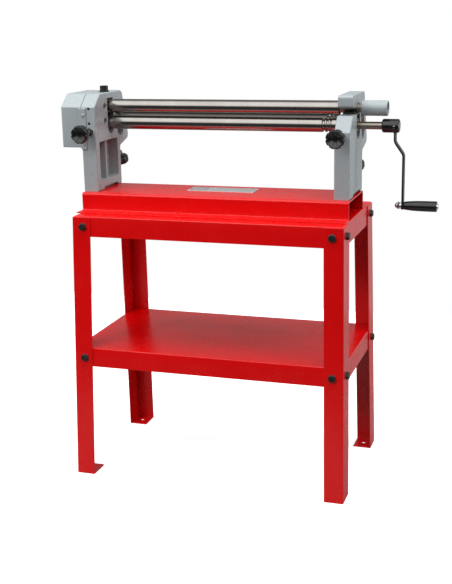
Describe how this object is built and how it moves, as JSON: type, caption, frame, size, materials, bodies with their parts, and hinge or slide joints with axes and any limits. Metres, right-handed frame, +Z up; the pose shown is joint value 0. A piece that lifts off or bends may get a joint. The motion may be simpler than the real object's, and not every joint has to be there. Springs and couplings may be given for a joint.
{
  "type": "three-roll slip roll",
  "caption": "Hand-cranked three-roll bending machine for sheet metal, on a folded sheet-metal stand with a shelf.",
  "frame": {"origin": "on the floor, at the centre of the four foot-bolt holes", "axes": "+X along the rolls towards the crank, +Y towards the back of the machine, +Z up"},
  "size_m": [1.0174, 0.452, 1.0656],
  "materials": {
    "red_paint": "glossy red powder coat",
    "grey_paint": "glossy blue-grey paint on castings",
    "black_steel": "black oxide steel",
    "polished_steel": "ground and polished round the roll",
    "machined_steel": "turned, lightly oiled",
    "cast_iron": "machined dark cast iron",
    "bronze": "bearing bronze",
    "black_plastic": "glossy black",
    "chrome": "bright plated",
    "label": "blank satin plate"
  },
  "bodies": {
    "frame": {"leg_front_left": "red_paint", "leg_front_right": "red_paint", "leg_rear_left": "red_paint", "leg_rear_right": "red_paint", "stand_top": "red_paint", "stand_shelf": "red_paint", "stand_bolts": "black_steel", "stand_nuts": "black_steel", "base_channel": "red_paint", "base_bolts": "black_steel", "label_plate": "label", "left_frame": "grey_paint", "right_frame": "grey_paint", "frame_bolts": "black_steel", "gear_cover": "grey_paint", "cover_screws": "grey_paint", "ball_housing": "cast_iron", "gear_bearing": "cast_iron", "clamp_bolt": "black_steel", "clamp_washer": "black_steel", "idler_shafts": "machined_steel", "idler_clips": "machined_steel", "idler_set_screws": "black_steel", "front_lock_nuts": "black_steel", "top_saddle": "cast_iron", "cap_pin": "machined_steel"},
    "left_plunger": {"front_plunger_left": "machined_steel"},
    "left_front_knob": {"front_screw_left": "machined_steel", "front_knob_left": "black_plastic"},
    "right_plunger": {"front_plunger_right": "machined_steel"},
    "right_front_knob": {"front_screw_right": "machined_steel", "front_knob_right": "black_plastic"},
    "lower_carriage": {"lower_block_left": "cast_iron", "lower_block_right": "cast_iron", "lower_bushes": "bronze"},
    "lower_washers": {"thrust_washers": "machined_steel"},
    "lower_roll": {"lower_roll": "polished_steel", "lower_roll_gear": "machined_steel", "crank_hub": "black_plastic", "crank_arm": "black_steel", "grip_bolt": "chrome", "grip_nut": "chrome"},
    "grip": {"crank_grip": "black_plastic"},
    "low_idler": {"idler_gear_lower": "machined_steel"},
    "high_idler": {"idler_gear_upper": "machined_steel"},
    "top_gear": {"gear_shaft": "machined_steel", "top_roll_gear": "machined_steel"},
    "top_swivel": {"ball_bush": "bronze"},
    "top_roll": {"top_roll": "polished_steel", "lift_handle": "grey_paint"},
    "cap": {"top_cap": "grey_paint"},
    "rear_carriage": {"rear_block_left": "cast_iron", "rear_block_right": "cast_iron", "rear_bushes": "bronze"},
    "rear_roll": {"rear_roll": "polished_steel"},
    "left_rear_knob": {"rear_screw_left": "machined_steel", "rear_knob_left": "black_plastic"},
    "right_rear_knob": {"rear_screw_right": "machined_steel", "rear_knob_right": "black_plastic"}
  },
  "joints": [
    {"name": "crank_turn", "type": "hinge", "parent": "lower_washers", "child": "lower_roll", "pos_m": [0, 0.018, 0.965], "axis": [1, 0, 0], "continuous": true},
    {"name": "grip_spin", "type": "hinge", "parent": "lower_roll", "child": "grip", "pos_m": [0.53, 0.018, 0.757], "axis": [1, 0, 0], "continuous": true},
    {"name": "low_idler_spin", "type": "hinge", "parent": "frame", "child": "low_idler", "pos_m": [-0.401, -0.019, 0.97], "axis": [1, 0, 0], "continuous": true},
    {"name": "high_idler_spin", "type": "hinge", "parent": "frame", "child": "high_idler", "pos_m": [-0.401, -0.019, 1.01], "axis": [1, 0, 0], "continuous": true},
    {"name": "top_gear_spin", "type": "hinge", "parent": "frame", "child": "top_gear", "pos_m": [-0.395, 0.018, 1.01], "axis": [1, 0, 0], "continuous": true},
    {"name": "top_roll_spin", "type": "hinge", "parent": "top_swivel", "child": "top_roll", "pos_m": [-0.351, 0.018, 1.01], "axis": [1, 0, 0], "continuous": true},
    {"name": "cap_open", "type": "hinge", "parent": "frame", "child": "cap", "pos_m": [0.344, 0.098, 1.014], "axis": [-1, 0, 0], "range_deg": [0, 95]},
    {"name": "top_roll_lift", "type": "hinge", "parent": "frame", "child": "top_swivel", "pos_m": [-0.351, 0.018, 1.01], "axis": [0, -1, 0], "range_deg": [0, 2.9]},
    {"name": "left_front_knob_turn", "type": "hinge", "parent": "left_plunger", "child": "left_front_knob", "pos_m": [-0.357, -0.09, 0.948], "axis": [0, 1, 0], "range_deg": [-2, 1442]},
    {"name": "left_plunger_push", "type": "slide", "parent": "frame", "child": "left_plunger", "axis": [0, 1, 0], "range_m": [-0.0001, 0.0061]},
    {"name": "right_front_knob_turn", "type": "hinge", "parent": "right_plunger", "child": "right_front_knob", "pos_m": [0.34, -0.09, 0.948], "axis": [0, 1, 0], "range_deg": [-2, 1442]},
    {"name": "right_plunger_push", "type": "slide", "parent": "frame", "child": "right_plunger", "axis": [0, 1, 0], "range_m": [-0.0001, 0.0061]},
    {"name": "lower_roll_raise", "type": "slide", "parent": "frame", "child": "lower_carriage", "axis": [0, 0, 1], "range_m": [0, 0.006]},
    {"name": "lower_washer_turn", "type": "hinge", "parent": "lower_carriage", "child": "lower_washers", "pos_m": [0, 0.018, 0.965], "axis": [1, 0, 0], "range_deg": [0, 21]},
    {"name": "left_rear_knob_turn", "type": "hinge", "parent": "rear_carriage", "child": "left_rear_knob", "pos_m": [-0.357, 0.083, 0.941], "axis": [0, -0.2588, 0.9659], "range_deg": [-2162, 2522]},
    {"name": "right_rear_knob_turn", "type": "hinge", "parent": "rear_carriage", "child": "right_rear_knob", "pos_m": [0.34, 0.083, 0.941], "axis": [0, -0.2588, 0.9659], "range_deg": [-2162, 2522]},
    {"name": "rear_roll_raise", "type": "slide", "parent": "frame", "child": "rear_carriage", "axis": [0, -0.2588, 0.9659], "range_m": [-0.012, 0.014]},
    {"name": "rear_roll_spin", "type": "hinge", "parent": "rear_carriage", "child": "rear_roll", "pos_m": [0, 0.07575, 0.96805], "axis": [1, 0, 0], "continuous": true}
  ],
  "couplings": [
    {"joint": "low_idler_spin", "follows": "crank_turn", "ratio": -0.85},
    {"joint": "high_idler_spin", "follows": "crank_turn", "ratio": 0.85},
    {"joint": "top_gear_spin", "follows": "crank_turn", "ratio": -1},
    {"joint": "top_roll_spin", "follows": "crank_turn", "ratio": -1},
    {"joint": "top_roll_lift", "follows": "cap_open", "ratio": 0.03},
    {"joint": "left_plunger_push", "follows": "lower_roll_raise", "ratio": 1},
    {"joint": "right_plunger_push", "follows": "lower_roll_raise", "ratio": 1},
    {"joint": "left_front_knob_turn", "follows": "lower_roll_raise", "rad_per_m": 4188.8},
    {"joint": "right_front_knob_turn", "follows": "lower_roll_raise", "rad_per_m": 4188.8},
    {"joint": "lower_washer_turn", "follows": "lower_roll_raise", "rad_per_m": 58.526},
    {"joint": "left_rear_knob_turn", "follows": "rear_roll_raise", "rad_per_m": 3141.6},
    {"joint": "right_rear_knob_turn", "follows": "rear_roll_raise", "rad_per_m": 3141.6}
  ]
}
